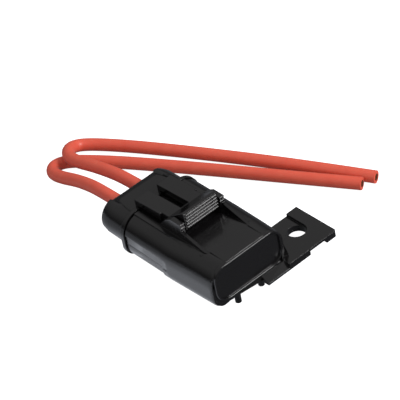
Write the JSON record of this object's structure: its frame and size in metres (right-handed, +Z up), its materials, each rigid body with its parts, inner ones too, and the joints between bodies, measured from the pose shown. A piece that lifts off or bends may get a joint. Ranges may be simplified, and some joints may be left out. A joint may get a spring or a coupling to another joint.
{
  "type": "inline blade fuse holder",
  "caption": "Sealed inline blade-fuse holder: leads run from a moulded housing under a slide-on cap with a rocking latch and a screw lug.",
  "frame": {"origin": "under the middle of the box round the holder without its leads, at the height of the pegs' ends", "axes": "+X from the leads to the cap's front, +Y to the screw lug, +Z up through the latch"},
  "size_m": [0.109, 0.0836, 0.0286],
  "materials": {
    "black_shell": "glossy moulded",
    "seal_rubber": "matte",
    "fuse_plastic": "glossy moulded",
    "fuse_metal": "bright stamped",
    "terminal_brass": "bright stamped",
    "copper": "drawn strands",
    "lead_red": "satin extruded"
  },
  "bodies": {
    "holder": {"housing": "black_shell", "sealing_ring": "seal_rubber", "fuse_body": "fuse_plastic", "fuse_element": "fuse_metal", "terminal_left": "terminal_brass", "terminal_right": "terminal_brass", "lead_seal_left": "seal_rubber", "lead_seal_right": "seal_rubber", "core_left": "copper", "core_right": "copper", "lead_left": "lead_red", "lead_right": "lead_red"},
    "cover": {"cap": "black_shell"},
    "rocker": {"latch": "black_shell"}
  },
  "joints": [
    {"name": "cap_slide", "type": "slide", "parent": "holder", "child": "cover", "axis": [1, 0, 0], "range_m": [0, 0.045]},
    {"name": "latch_rock", "type": "hinge", "parent": "cover", "child": "rocker", "pos_m": [0.00135, -0.00905, 0.0216], "axis": [0, 1, 0], "range_deg": [0, 7], "stiffness_Nm_per_rad": 0.4}
  ]
}
